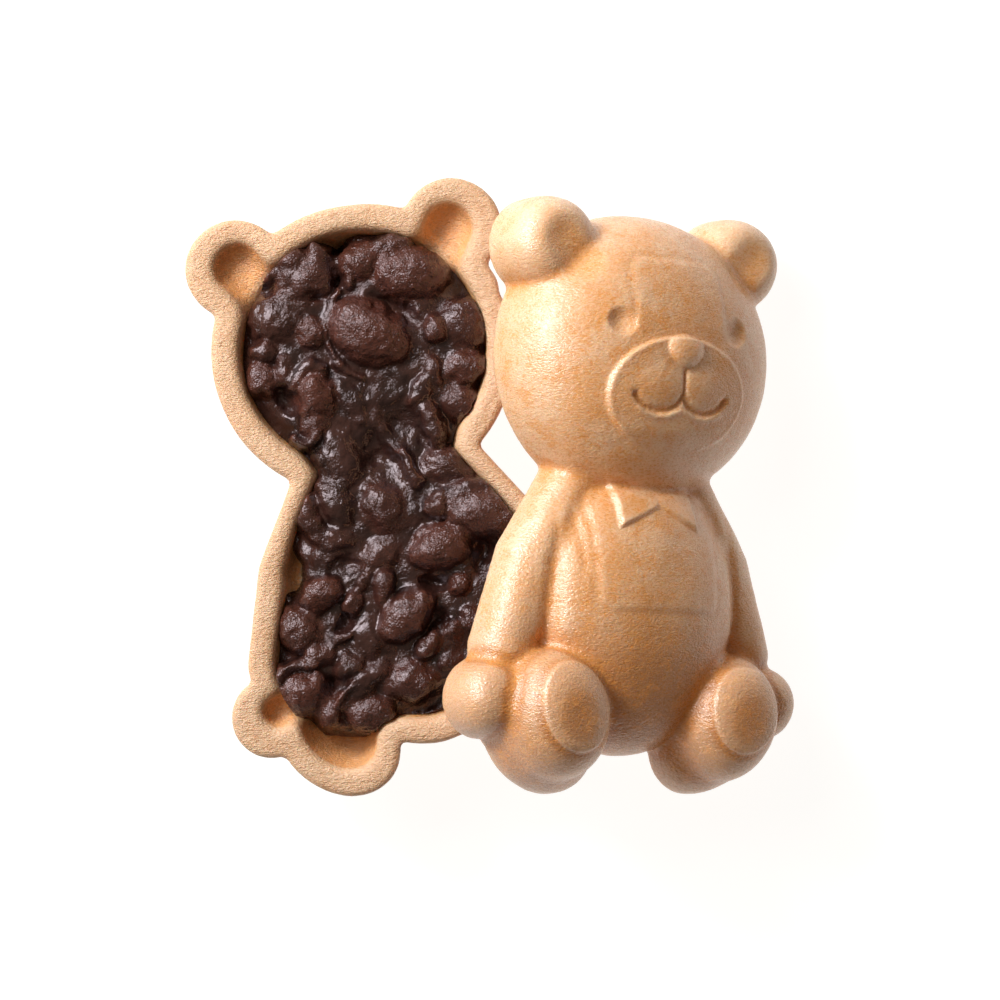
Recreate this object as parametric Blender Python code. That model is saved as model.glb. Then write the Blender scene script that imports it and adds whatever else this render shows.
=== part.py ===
"""Opened bear monaka: a wafer half filled with bean paste, and the bear-faced wafer half leaning on it.

Both wafer halves come from one mould outline, so they share its field of flattened domes. The filled
half lies on its back with its rim level. The faced half rests on one ear and on the filled half.
Sizes are in millimetres, and MM turns them into Blender's metres. Angles are in degrees.
"""
import math
from collections import namedtuple

import bpy
import numpy as np
from mathutils import Matrix
from mathutils import Vector
from mathutils.geometry import delaunay_2d_cdt

MM = 0.001

# One half in its own plane: x to its left and right, y from feet to ears, z up from the mating rim.
Dome = namedtuple("Dome", "x y rx ry rise power turn")
Limb = namedtuple("Limb", "bends radius rise power")

HEAD = Dome(0.0, 13.3, 16.95, 16.3, 12.8, 2.4, 0.0)
EAR = Dome(12.25, 24.9, 5.55, 5.5, 8.1, 3.3, 0.0)
TORSO = Dome(0.0, -14.6, 13.0, 16.5, 9.9, 2.4, 0.0)
ARM = Limb(((7.2, -1.2), (12.5, -9.8), (15.5, -19.4)), 3.85, 5.2, 2.2)
HAND = Dome(17.75, -24.9, 4.5, 4.5, 6.6, 2.5, 0.0)
LEG = Dome(11.0, -27.8, 6.2, 8.0, 6.5, 2.6, -34.0)
FOOT = Dome(11.1, -26.6, 6.35, 7.5, 10.6, 3.2, -12.0)
BLEND = 1.2

# Hollow of one half, a wall's width inside the outline. Each rise is a share of the half's hollow rise:
# ears, hands and legs are shallow bowls, and elsewhere the floor follows the outer relief.
HOLLOW_HEAD = Dome(0.0, 13.3, 13.9, 13.5, 1.0, 2.6, 0.0)
HOLLOW_EAR = Limb(((11.9, 24.9), (8.6, 19.8)), 2.75, 0.2, 2.6)
HOLLOW_NECK = Dome(0.0, 2.0, 8.2, 4.5, 1.0, 2.6, 0.0)
HOLLOW_SHOULDER = Limb(((7.1, -1.2), (11.8, -9.3)), 1.5, 1.0, 2.6)
HOLLOW_TORSO = Dome(0.0, -12.9, 13.0, 15.3, 1.0, 2.6, 0.0)
HOLLOW_SIDE = Limb(((6.8, -15.2), (8.5, -20.4)), 8.0, 1.0, 2.6)
HOLLOW_HAND = Limb(((16.9, -24.4), (13.0, -23.0)), 1.8, 0.2, 2.6)
HOLLOW_LEG = Dome(10.8, -27.6, 3.7, 5.0, 0.4, 2.6, -34.0)
HOLLOW_BLEND = 1.6
SKIN = 2.2
SIDE_SKIN = 1.0
SIDE_PROBES = 8
WALL_DRAFT = 0.10
FRONT_HOLLOW_RISE = 11.0
BACK_HOLLOW_RISE = 15.0

# Plain back of the filled half, cut flat where it rests.
BACK_DEPTH = 15.0
BACK_RISE = {"head": 16.0, "ear": 8.0, "torso": 16.6, "arm": 8.0, "hand": 7.0, "leg": 10.0}
BACK_POWER = 2.6

# Face, bow tie and belly panel of the faced half.
MUZZLE = Dome(0.0, 8.4, 8.8, 6.3, 0.4, 2.0, 0.0)
MUZZLE_EDGE = 0.10
NOSE = Dome(0.0, 13.2, 2.3, 1.85, 0.95, 2.0, 0.0)
EYE = Dome(7.4, 16.0, 1.75, 1.7, -0.7, 2.0, 0.0)
EAR_PIT = Limb(((12.4, 25.1), (10.8, 23.2)), 2.9, -0.8, 2.0)
SOLE = Dome(11.0, -25.6, 4.2, 4.9, 0.3, 2.0, -12.0)
SOLE_EDGE = 0.08
BOW_REACH = 5.0
BOW_KNOT_Y = -3.1
BOW_TIP_Y = -3.6
BOW_KNOT_HALF = 0.45
BOW_TIP_HALF = 2.4
BOW_RISE = 0.55
BOW_KNOT_SHARE = 0.5
BOW_EDGE = 0.35
PANEL_HALF_WIDTH = 7.6
PANEL_TOP = -2.0
PANEL_BOTTOM = -15.0
PANEL_RISE = 0.22
PANEL_EDGE = 0.8

# Pose of the two halves on the table.
FILLED_SPIN = 10.99
FILLED_X = -11.83
FILLED_Y = 2.30
FACED_YAW = 30.2
FACED_PITCH = -4.2
FACED_ROLL = -1.3
FACED_X = 14.22
FACED_Y = 1.10
TABLE_TOUCH = 0.02

# Bean paste in the filled half: level below the rim, heap at the middle, and the beans that stand up.
PASTE_GAP = 0.75
PASTE_LEVEL = -1.1
PASTE_HEAP = 1.3
PASTE_HEAP_WIDTH = 9.9
PASTE_END_SLOPE = 4.0
PASTE_HEAD = Dome(0.0, 13.2, 14.6, 13.0, 1.0, 2.0, 0.0)
PASTE_TORSO = Dome(0.0, -12.8, 16.5, 17.0, 1.0, 2.0, 0.0)
PASTE_FEET = Dome(-4.5, -21.5, 11.3, 7.3, 1.0, 2.0, 0.0)
PASTE_BLEND = 2.0
BEAN_BLEND = 0.7
PASTE_DENTS = (Dome(-12.9, -9.2, 1.9, 3.4, -5.0, 2.0, 15.0), Dome(-0.7, 26.0, 1.5, 1.6, -4.0, 2.0, 0.0))
Bean = namedtuple("Bean", "x y rx ry turn top")
BEANS = (
    Bean(-5.0, 22.6, 3.7, 3.1, 11, 1.2),
    Bean(3.0, 24.0, 2.7, 2.4, 11, 0.9),
    Bean(7.0, 20.3, 4.6, 3.0, -9, 1.6),
    Bean(1.1, 15.3, 5.4, 3.7, -31, 2.4),
    Bean(-8.1, 18.3, 3.6, 2.4, -4, 1.0),
    Bean(-11.5, 12.5, 2.0, 2.2, 11, 0.3),
    Bean(-6.1, 9.7, 3.0, 3.1, 11, 1.8),
    Bean(-7.8, 5.7, 1.8, 1.8, 11, 0.4),
    Bean(11.0, 12.9, 2.8, 4.0, 11, 0.7),
    Bean(10.0, 8.7, 2.2, 2.2, 11, 0.5),
    Bean(-6.3, -4.0, 2.3, 5.0, 16, 1.1),
    Bean(-1.8, -4.0, 2.2, 3.6, 11, 1.0),
    Bean(-9.6, -5.8, 1.8, 2.9, 11, 0.8),
    Bean(4.4, -9.5, 3.3, 2.9, 11, 1.9),
    Bean(9.6, -6.3, 4.2, 3.0, -14, 2.5),
    Bean(-9.7, -12.4, 2.6, 1.8, 11, 1.4),
    Bean(-12.7, -16.1, 2.8, 2.8, 11, 0.7),
    Bean(-0.3, -16.5, 4.0, 2.7, 31, 1.9),
    Bean(-7.7, -20.7, 2.2, 2.6, -34, 0.9),
    Bean(-13.8, -22.9, 3.0, 2.8, 11, 1.2),
    Bean(-6.6, -26.3, 2.9, 2.2, 11, 0.5),
    Bean(-1.8, -22.7, 3.7, 2.8, 11, 1.1),
)

# Mesh spacing.
RIM_STEP = 1.5
WALL_LEVEL = 3.0
HOLLOW_LEVEL = 1.6
WALL_REACH = 2.5
SHEET_START = 28.5
PASTE_START = 25.5
TRACE_STEP = 0.3
TRACE_SOLVES = 4
TRACE_START = 20
PROBE = 0.01
WELD = 1e-6
BASE_SPACING = 1.8
FINE_SPACING = 0.85
HOLLOW_SPACING = 1.8
POCKET_SPACING = 1.0
POCKET_MARGIN = 1.3
PASTE_SPACING = 1.8
DETAIL_ZONES = ((-9.4, 9.4, 1.6, 18.2), (-6.0, 6.0, -6.8, 0.2))
DETAIL_MARGIN = 0.7
SHEET_MARGIN = 0.7
SOLVE_STEPS = 26
SOLVE_TOP = 24.0
LEAST_RADIUS = 0.1

WAFER_COLOR = (0.80, 0.52, 0.28, 1.0)
WAFER_ROUGHNESS = 0.62
PASTE_COLOR = (0.045, 0.016, 0.016, 1.0)
PASTE_ROUGHNESS = 0.28


def clear_scene():
    for item in list(bpy.data.objects):
        bpy.data.objects.remove(item)


def smooth_min(a, b, blend):
    """Least of two fields, with their crossing filleted."""
    overlap = np.maximum(blend - np.abs(a - b), 0.0) / blend
    return np.minimum(a, b) - overlap * overlap * blend * 0.25


def smooth_step(value, low, high):
    t = np.clip((value - low) / (high - low), 0.0, 1.0)
    return t * t * (3.0 - 2.0 * t)


def dome_reach(dome, x, y, inset):
    turn = math.radians(dome.turn)
    dx = x - dome.x
    dy = y - dome.y
    u = math.cos(turn) * dx + math.sin(turn) * dy
    v = math.cos(turn) * dy - math.sin(turn) * dx
    half_u = np.maximum(dome.rx - inset, LEAST_RADIUS)
    half_v = np.maximum(dome.ry - inset, LEAST_RADIUS)
    return np.hypot(u / half_u, v / half_v)


def limb_reach(limb, x, y, inset):
    nearest = np.full(np.shape(x), np.inf)
    for (x0, y0), (x1, y1) in zip(limb.bends, limb.bends[1:]):
        dx = x1 - x0
        dy = y1 - y0
        along = np.clip(((x - x0) * dx + (y - y0) * dy) / (dx * dx + dy * dy), 0.0, 1.0)
        nearest = np.minimum(nearest, np.hypot(x - x0 - along * dx, y - y0 - along * dy))
    return nearest / np.maximum(limb.radius - inset, LEAST_RADIUS)


def plan_reach(part, x, y, inset=0.0):
    """0 at the middle of a dome or limb and 1 on its edge, in plan."""
    if isinstance(part, Limb):
        return limb_reach(part, x, y, inset)
    return dome_reach(part, x, y, inset)


def plan_size(part):
    if isinstance(part, Limb):
        return part.radius
    return math.sqrt(part.rx * part.ry)


def part_field(part, x, y, z, inset):
    """Below zero inside a flattened dome or limb and zero on its surface."""
    reach = plan_reach(part, x, y, inset)
    norm = (reach ** part.power + (z / part.rise) ** part.power) ** (1.0 / part.power)
    return (norm - 1.0) * plan_size(part)


def body_field(parts, x, y, z, inset=0.0, blend=BLEND):
    """Field of the whole bear: its parts melted together, mirrored about x = 0."""
    side = np.abs(x)
    total = None
    for part in parts:
        value = part_field(part, side, y, z, inset)
        total = value if total is None else smooth_min(total, value, blend)
    return total


def surface_height(field, x, y):
    """Height at which a field that grows with z reaches zero; 0 outside the outline."""
    low = np.zeros_like(x)
    high = np.full_like(x, SOLVE_TOP)
    for _ in range(SOLVE_STEPS):
        middle = (low + high) / 2.0
        inside = field(x, y, middle) < 0.0
        low = np.where(inside, middle, low)
        high = np.where(inside, high, middle)
    return (low + high) / 2.0


FRONT_PARTS = (HEAD, EAR, TORSO, ARM, HAND, LEG, FOOT)
BACK_PARTS = (
    HEAD._replace(rise=BACK_RISE["head"], power=BACK_POWER),
    EAR._replace(rise=BACK_RISE["ear"], power=BACK_POWER),
    TORSO._replace(rise=BACK_RISE["torso"], power=BACK_POWER),
    ARM._replace(rise=BACK_RISE["arm"], power=BACK_POWER),
    HAND._replace(rise=BACK_RISE["hand"], power=BACK_POWER),
    LEG._replace(rise=BACK_RISE["leg"], power=BACK_POWER),
)
BED_PARTS = (HOLLOW_HEAD, HOLLOW_NECK, HOLLOW_SHOULDER, HOLLOW_TORSO, HOLLOW_SIDE, HOLLOW_LEG)
HOLLOW_PARTS = BED_PARTS + (HOLLOW_EAR, HOLLOW_HAND)
FRONT_HOLLOW = tuple(part._replace(rise=part.rise * FRONT_HOLLOW_RISE) for part in HOLLOW_PARTS)
BACK_HOLLOW = tuple(part._replace(rise=part.rise * BACK_HOLLOW_RISE) for part in HOLLOW_PARTS)
PASTE_BED = tuple(part._replace(rise=part.rise * BACK_HOLLOW_RISE - PASTE_GAP) for part in BED_PARTS)


def front_field(x, y, z):
    return body_field(FRONT_PARTS, x, y, z)


def back_field(x, y, z):
    return body_field(BACK_PARTS, x, y, z)


def front_hollow_field(x, y, z):
    return body_field(FRONT_HOLLOW, x, y, z, WALL_DRAFT * z, HOLLOW_BLEND)


def back_hollow_field(x, y, z):
    return body_field(BACK_HOLLOW, x, y, z, WALL_DRAFT * z, HOLLOW_BLEND)


def paste_bed_field(x, y, z):
    """The back hollow without its small pockets, drawn in by the gap that the paste keeps."""
    return body_field(PASTE_BED, x, y, z, PASTE_GAP + WALL_DRAFT * z, HOLLOW_BLEND)


def bump(part, x, y):
    """Rounded bump of a part's rise, zero outside its edge."""
    inside = np.clip(1.0 - plan_reach(part, x, y) ** 2, 0.0, 1.0)
    return part.rise * np.sqrt(inside)


def soft_pit(part, x, y):
    """Pit of a part's rise whose edge runs out softly."""
    inside = np.clip(1.0 - plan_reach(part, x, y) ** 2, 0.0, 1.0)
    return part.rise * inside * np.sqrt(inside)


def plateau(part, x, y, edge):
    """Flat step of a part's rise; the edge is a share of the part's reach."""
    return part.rise * smooth_step(1.0 - plan_reach(part, x, y), -edge, edge)


def bow_tie(x, y):
    """Two wings that widen from the knot to their tips."""
    side = np.abs(x)
    along = np.clip(side / BOW_REACH, 0.0, 1.0)
    centre = BOW_KNOT_Y + (BOW_TIP_Y - BOW_KNOT_Y) * along
    half = BOW_KNOT_HALF + (BOW_TIP_HALF - BOW_KNOT_HALF) * along
    to_edge = np.minimum(half - np.abs(y - centre), BOW_REACH - side)
    rise = BOW_RISE * (BOW_KNOT_SHARE + (1.0 - BOW_KNOT_SHARE) * along)
    return rise * smooth_step(to_edge, -BOW_EDGE, BOW_EDGE)


def belly_panel(x, y):
    to_edge = np.minimum(PANEL_HALF_WIDTH - np.abs(x), np.minimum(PANEL_TOP - y, y - PANEL_BOTTOM))
    return PANEL_RISE * smooth_step(to_edge, -PANEL_EDGE, PANEL_EDGE)


def front_height(x, y):
    """Outer surface of the faced half."""
    side = np.abs(x)
    height = surface_height(front_field, x, y)
    height = height + plateau(MUZZLE, x, y, MUZZLE_EDGE) + bump(NOSE, x, y)
    height = height + soft_pit(EYE, side, y) + soft_pit(EAR_PIT, side, y)
    height = height + plateau(SOLE, side, y, SOLE_EDGE)
    return height + bow_tie(x, y) + belly_panel(x, y)


def back_height(x, y):
    """Outer surface of the filled half, cut flat at its depth."""
    return np.minimum(surface_height(back_field, x, y), BACK_DEPTH)


def hollow_floor(outer, x, y):
    """Highest that a hollow may reach under an outer surface and beside its steep steps."""
    least = outer(x, y)
    for probe in range(SIDE_PROBES):
        angle = math.tau * probe / SIDE_PROBES
        least = np.minimum(least, outer(x + SIDE_SKIN * math.cos(angle), y + SIDE_SKIN * math.sin(angle)))
    return np.maximum(least - SKIN, HOLLOW_LEVEL)


def front_hollow_height(x, y):
    return np.minimum(surface_height(front_hollow_field, x, y), hollow_floor(front_height, x, y))


def back_hollow_height(x, y):
    return np.minimum(surface_height(back_hollow_field, x, y), hollow_floor(back_height, x, y))


def paste_bed_height(x, y):
    return np.minimum(surface_height(paste_bed_field, x, y), hollow_floor(back_height, x, y) - PASTE_GAP)


def paste_top(x, y):
    """Top of the paste over the rim plane: a low heap with beans, falling off into the pockets."""
    mass = (plan_reach(PASTE_HEAD, x, y) - 1.0) * PASTE_HEAD.ry
    for part in (PASTE_TORSO, PASTE_FEET):
        mass = smooth_min(mass, (plan_reach(part, x, y) - 1.0) * part.ry, PASTE_BLEND)
    top = PASTE_LEVEL + PASTE_HEAP * smooth_step(-mass, 0.0, PASTE_HEAP_WIDTH)
    top = top - PASTE_END_SLOPE * np.maximum(mass, 0.0)
    for bean in BEANS:
        dome = Dome(bean.x, bean.y, bean.rx, bean.ry, 1.0, 2.0, bean.turn)
        reach = plan_reach(dome, x, y)
        size = min(bean.rx, bean.ry)
        crown = bean.top - size * (1.0 - np.sqrt(np.clip(1.0 - reach * reach, 0.0, 1.0)))
        crown = crown - size * np.maximum(reach - 1.0, 0.0) * PASTE_END_SLOPE
        top = -smooth_min(-top, -crown, BEAN_BLEND)
    for dent in PASTE_DENTS:
        top = top + soft_pit(dent, x, y)
    return top


def paste_edge_field(x, y):
    """Below zero where the paste's top lies inside its bed."""
    depth = np.maximum(-paste_top(x, y), 0.0)
    floor = back_height(x, y) - SKIN - PASTE_GAP
    return np.maximum(paste_bed_field(x, y, depth), depth - floor)


def on_outline(field, point):
    """Nearest point of a contour field = 0, and the unit tangent there."""
    for _ in range(TRACE_SOLVES):
        xs = point[0] + np.array([0.0, PROBE, 0.0])
        ys = point[1] + np.array([0.0, 0.0, PROBE])
        value, value_x, value_y = field(xs, ys)
        slope = np.array([value_x - value, value_y - value]) / PROBE
        point = point - slope * value / slope.dot(slope)
    return point, np.array([slope[1], -slope[0]]) / math.hypot(slope[0], slope[1])


def trace_outline(field, start_y, step):
    """Closed contour field = 0, walked from the top of the y axis and spaced evenly."""
    point, tangent = on_outline(field, np.array([0.0, start_y]))
    path = [point]
    while len(path) < TRACE_START or np.hypot(*(point - path[0])) > TRACE_STEP:
        point, tangent = on_outline(field, point + tangent * TRACE_STEP)
        path.append(point)
    path = np.array(path + path[:1])
    lengths = np.concatenate([[0.0], np.cumsum(np.hypot(*np.diff(path, axis=0).T))])
    count = int(round(lengths[-1] / step))
    marks = np.arange(count) * lengths[-1] / count
    return np.column_stack([np.interp(marks, lengths, path[:, 0]), np.interp(marks, lengths, path[:, 1])])


def lattice(spacing):
    """Points of a triangular lattice over the whole outline."""
    rows = []
    reach = HEAD.y + HEAD.ry + EAR.ry
    for row in range(int(2.0 * reach / (spacing * math.sqrt(0.75))) + 1):
        y = -reach + row * spacing * math.sqrt(0.75)
        shift = spacing * 0.5 * (row % 2)
        count = int(reach / spacing) + 1
        xs = np.arange(-count, count + 1) * spacing + shift
        rows.append(np.column_stack([xs, np.full_like(xs, y)]))
    return np.concatenate(rows)


def in_detail_zone(points, margin):
    inside = np.zeros(len(points), bool)
    for x_low, x_high, y_low, y_high in DETAIL_ZONES:
        inside |= ((points[:, 0] > x_low - margin) & (points[:, 0] < x_high + margin)
                   & (points[:, 1] > y_low - margin) & (points[:, 1] < y_high + margin))
    return inside


def detailed_lattice():
    """Coarse lattice with a fine one in the zones of the face and the bow tie."""
    coarse = lattice(BASE_SPACING)
    fine = lattice(FINE_SPACING)
    coarse = coarse[~in_detail_zone(coarse, DETAIL_MARGIN)]
    return np.concatenate([coarse, fine[in_detail_zone(fine, 0.0)]])


def hollow_lattice():
    """Lattice for a hollow, finer in its small pockets."""
    coarse = lattice(HOLLOW_SPACING)
    fine = lattice(POCKET_SPACING)
    inside = []
    for points, limit in ((coarse, POCKET_MARGIN), (fine, 1.0)):
        side = np.abs(points[:, 0])
        reach = [plan_reach(pocket, side, points[:, 1]) for pocket in (HOLLOW_EAR, HOLLOW_HAND)]
        inside.append(np.minimum(*reach) < limit)
    return np.concatenate([coarse[~inside[0]], fine[inside[1]]])


def clear_of(points, loops, distance):
    """Points that stay a distance away from every loop."""
    keep = np.ones(len(points), bool)
    for loop in loops:
        for corner in loop:
            keep &= np.hypot(points[:, 0] - corner[0], points[:, 1] - corner[1]) > distance
    return points[keep]


def triangulate(loops, fill):
    """Triangles between closed loops and loose points, wound anticlockwise."""
    points = np.concatenate(loops + [fill])
    edges = []
    first = 0
    for loop in loops:
        count = len(loop)
        edges += [(first + i, first + (i + 1) % count) for i in range(count)]
        first += count
    flat = [Vector((float(x), float(y))) for x, y in points]
    result = delaunay_2d_cdt(flat, edges, [], 1, WELD)
    source = [origins[0] for origins in result[3]]
    triangles = []
    for face in result[2]:
        a, b, c = (source[index] for index in face)
        cross = np.cross(points[b] - points[a], points[c] - points[a])
        triangles.append((a, b, c) if cross > 0.0 else (a, c, b))
    return points, triangles


def inner_ring(field, ring, level):
    """Points where the wall inside each point of a ring reaches a level."""
    zero = np.zeros(len(ring))
    base = field(ring[:, 0], ring[:, 1], zero)
    slope = np.column_stack([field(ring[:, 0] + PROBE, ring[:, 1], zero) - base,
                             field(ring[:, 0], ring[:, 1] + PROBE, zero) - base])
    inward = -slope / np.hypot(slope[:, 0], slope[:, 1])[:, None]
    low = np.zeros(len(ring))
    high = np.full(len(ring), WALL_REACH)
    for _ in range(SOLVE_STEPS):
        middle = (low + high) / 2.0
        spot = ring + inward * middle[:, None]
        outside = field(spot[:, 0], spot[:, 1], np.full(len(ring), level)) > 0.0
        low = np.where(outside, middle, low)
        high = np.where(outside, high, middle)
    return ring + inward * high[:, None]


def sheet(field, height, fill, level):
    """Relief over one outline: its rim ring, a wall ring at a level above that, and the fill inside."""
    flat = trace_outline(lambda x, y: field(x, y, np.zeros_like(x)), SHEET_START, RIM_STEP)
    wall = inner_ring(field, flat, level)
    count = len(flat)
    inside = field(fill[:, 0], fill[:, 1], np.full(len(fill), level)) < 0.0
    fill = clear_of(fill[inside], [wall], SHEET_MARGIN)
    plan, faces = triangulate([wall], fill)
    heights = np.concatenate([np.full(count, level), height(fill[:, 0], fill[:, 1])])
    upper = np.column_stack([plan, heights])
    lower = np.column_stack([flat, np.zeros(count)])
    faces = [(a + count, b + count, c + count) for a, b, c in faces]
    for i in range(count):
        j = (i + 1) % count
        faces += [(j, i, i + count), (j, i + count, j + count)]
    return np.concatenate([lower, upper]), faces, count


def wafer_mesh(outer_field, outer_height, outer_fill, hollow_field, hollow_height):
    """Closed shell: outer relief, hollow, and the flat rim between their outlines."""
    outer, faces, rim_count = sheet(outer_field, outer_height, outer_fill, WALL_LEVEL)
    hollow, hollow_faces, mouth_count = sheet(hollow_field, hollow_height, hollow_lattice(), HOLLOW_LEVEL)
    shift = len(outer)
    faces += [(a + shift, c + shift, b + shift) for a, b, c in hollow_faces]
    land, land_faces = triangulate([outer[:rim_count, :2], hollow[:mouth_count, :2]], np.zeros((0, 2)))
    for face in land_faces:
        centre = land[list(face)].mean(axis=0, keepdims=True)
        if hollow_field(centre[:, 0], centre[:, 1], np.zeros(1))[0] > 0.0:
            a, b, c = (index if index < rim_count else index - rim_count + shift for index in face)
            faces.append((a, c, b))
    return np.concatenate([outer, hollow]), faces


def paste_mesh():
    """Closed body of the paste, between its top and its bed."""
    edge = trace_outline(paste_edge_field, PASTE_START, RIM_STEP)
    fill = lattice(PASTE_SPACING)
    inside = paste_edge_field(fill[:, 0], fill[:, 1]) < 0.0
    fill = clear_of(fill[inside], [edge], SHEET_MARGIN)
    points, faces = triangulate([edge], fill)
    edge_height = paste_top(edge[:, 0], edge[:, 1])
    top = np.column_stack([points, np.concatenate([edge_height, paste_top(fill[:, 0], fill[:, 1])])])
    bed = np.column_stack([fill, -paste_bed_height(fill[:, 0], fill[:, 1])])
    count = len(edge)
    shift = len(top) - count
    under = [tuple(index if index < count else index + shift for index in face) for face in faces]
    return np.concatenate([top, bed]), list(faces) + [(a, c, b) for a, b, c in under]


def turn_matrix(yaw, pitch, roll):
    return (Matrix.Rotation(math.radians(roll), 4, "Z") @ Matrix.Rotation(math.radians(pitch), 4, "X")
            @ Matrix.Rotation(math.radians(yaw), 4, "Y"))


def material(name, color, roughness):
    result = bpy.data.materials.new(name)
    result.use_nodes = True
    shader = result.node_tree.nodes["Principled BSDF"]
    shader.inputs["Base Color"].default_value = color
    shader.inputs["Roughness"].default_value = roughness
    shader.inputs["Metallic"].default_value = 0.0
    return result


def add_object(name, vertices, faces, matrix, surface):
    """Object with its mesh in metres, placed by its own matrix."""
    mesh = bpy.data.meshes.new(name)
    mesh.from_pydata([tuple(float(value) * MM for value in vertex) for vertex in vertices], [], faces)
    mesh.validate()
    mesh.materials.append(surface)
    mesh.shade_smooth()
    item = bpy.data.objects.new(name, mesh)
    item.matrix_world = matrix
    bpy.context.scene.collection.objects.link(item)
    return item


def place(x, y, z, turn):
    return Matrix.Translation((x * MM, y * MM, z * MM)) @ turn


def build():
    clear_scene()
    wafer = material("back_wafer_baked", WAFER_COLOR, WAFER_ROUGHNESS)
    face_wafer = material("front_wafer_baked", WAFER_COLOR, WAFER_ROUGHNESS)
    paste = material("bean_paste_sweet", PASTE_COLOR, PASTE_ROUGHNESS)

    lying = place(FILLED_X, FILLED_Y, BACK_DEPTH, Matrix.Rotation(math.radians(FILLED_SPIN), 4, "Z"))
    vertices, faces = wafer_mesh(back_field, back_height, lattice(HOLLOW_SPACING),
                                 back_hollow_field, back_hollow_height)
    add_object("back_wafer", vertices, faces, lying @ Matrix.Rotation(math.pi, 4, "Y"), wafer)

    vertices, faces = paste_mesh()
    add_object("bean_paste", vertices, faces, lying, paste)

    vertices, faces = wafer_mesh(front_field, front_height, detailed_lattice(),
                                 front_hollow_field, front_hollow_height)
    turn = turn_matrix(FACED_YAW, FACED_PITCH, FACED_ROLL)
    lowest = min((turn @ Vector(vertex)).z for vertex in vertices)
    leaning = place(FACED_X, FACED_Y, TABLE_TOUCH - lowest, turn)
    add_object("front_wafer", vertices, faces, leaning, face_wafer)


build()
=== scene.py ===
"""Opened bear monaka: two baked wafer halves and the chunky bean paste in one of them.

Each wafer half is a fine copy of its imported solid. Its points are settled on the smooth surface that the
solid's facets stand for, with rounded rims and the relief of face, sleeves, soles and bow tie. The paste is
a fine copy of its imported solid, pressed out to the wafer's walls and up or down to the height of its beans,
folds and pits. Lengths are millimetres in a half's own plane: x to its left and right, y from feet to ears,
z up from the rim. MM turns them into metres.
"""
import math
from collections import namedtuple

import bmesh
import bpy
import numpy as np
from mathutils import Matrix
from mathutils import Vector
from mathutils import noise


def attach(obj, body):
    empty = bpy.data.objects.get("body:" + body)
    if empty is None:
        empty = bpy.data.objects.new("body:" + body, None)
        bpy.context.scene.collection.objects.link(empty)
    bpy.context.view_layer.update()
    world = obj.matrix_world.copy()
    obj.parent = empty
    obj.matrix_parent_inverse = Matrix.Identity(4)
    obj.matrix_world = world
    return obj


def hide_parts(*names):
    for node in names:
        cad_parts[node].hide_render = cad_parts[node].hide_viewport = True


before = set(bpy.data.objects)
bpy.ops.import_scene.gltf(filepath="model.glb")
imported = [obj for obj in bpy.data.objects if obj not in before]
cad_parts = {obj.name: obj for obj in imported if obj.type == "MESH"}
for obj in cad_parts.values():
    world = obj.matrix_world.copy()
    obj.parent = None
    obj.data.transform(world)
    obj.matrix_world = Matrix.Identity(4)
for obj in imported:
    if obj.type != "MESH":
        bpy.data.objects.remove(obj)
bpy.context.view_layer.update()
MM = 0.001

# ---------------------------------------------------------------- sizes of one half
Dome = namedtuple("Dome", "x y rx ry rise power turn")
Limb = namedtuple("Limb", "bends radius rise power")

HEAD = Dome(0.0, 13.3, 16.95, 16.3, 12.8, 2.4, 0.0)
EAR = Dome(12.25, 24.9, 5.55, 5.5, 8.1, 3.3, 0.0)
TORSO = Dome(0.0, -14.6, 13.0, 16.5, 9.9, 2.4, 0.0)
ARM = Limb(((7.2, -1.2), (12.5, -9.8), (15.5, -19.4)), 3.85, 5.2, 2.2)
HAND = Dome(17.75, -24.9, 4.5, 4.5, 6.6, 2.5, 0.0)
LEG = Dome(11.0, -27.8, 6.2, 8.0, 6.5, 2.6, -34.0)
FOOT = Dome(11.1, -26.6, 6.35, 7.5, 10.6, 3.2, -12.0)
FRONT_PARTS = (HEAD, EAR, TORSO, ARM, HAND, LEG, FOOT)
BLEND = 0.8

BACK_DEPTH = 15.0
BACK_RISES = ((HEAD, 16.0), (EAR, 8.0), (TORSO, 16.6), (ARM, 8.0), (HAND, 7.0), (LEG, 10.0))
BACK_POWER = 2.6
BACK_PARTS = tuple(part._replace(rise=rise, power=BACK_POWER) for part, rise in BACK_RISES)

HOLLOW_HEAD = Dome(0.0, 13.3, 13.9, 13.5, 1.0, 2.6, 0.0)
HOLLOW_EAR = Limb(((11.9, 24.9), (8.6, 19.8)), 2.75, 0.2, 2.6)
HOLLOW_NECK = Dome(0.0, 2.0, 8.2, 4.5, 1.0, 2.6, 0.0)
HOLLOW_SHOULDER = Limb(((7.1, -1.2), (11.8, -9.3)), 1.5, 1.0, 2.6)
HOLLOW_TORSO = Dome(0.0, -12.9, 13.0, 15.3, 1.0, 2.6, 0.0)
HOLLOW_SIDE = Limb(((6.8, -15.2), (8.5, -20.4)), 8.0, 1.0, 2.6)
HOLLOW_HAND = Limb(((16.9, -24.4), (13.0, -23.0)), 1.8, 0.2, 2.6)
HOLLOW_LEG = Dome(10.8, -27.6, 3.7, 5.0, 0.4, 2.6, -34.0)
BED_PARTS = (HOLLOW_HEAD, HOLLOW_NECK, HOLLOW_SHOULDER, HOLLOW_TORSO, HOLLOW_SIDE, HOLLOW_LEG)
HOLLOW_PARTS = BED_PARTS + (HOLLOW_EAR, HOLLOW_HAND)
HOLLOW_BLEND = 1.6
WALL_DRAFT = 0.10
SKIN = 2.2
SIDE_SKIN = 0.9
FRONT_HOLLOW_RISE = 11.0
BACK_HOLLOW_RISE = 15.0
FRONT_HOLLOW = tuple(part._replace(rise=part.rise * FRONT_HOLLOW_RISE) for part in HOLLOW_PARTS)
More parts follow.
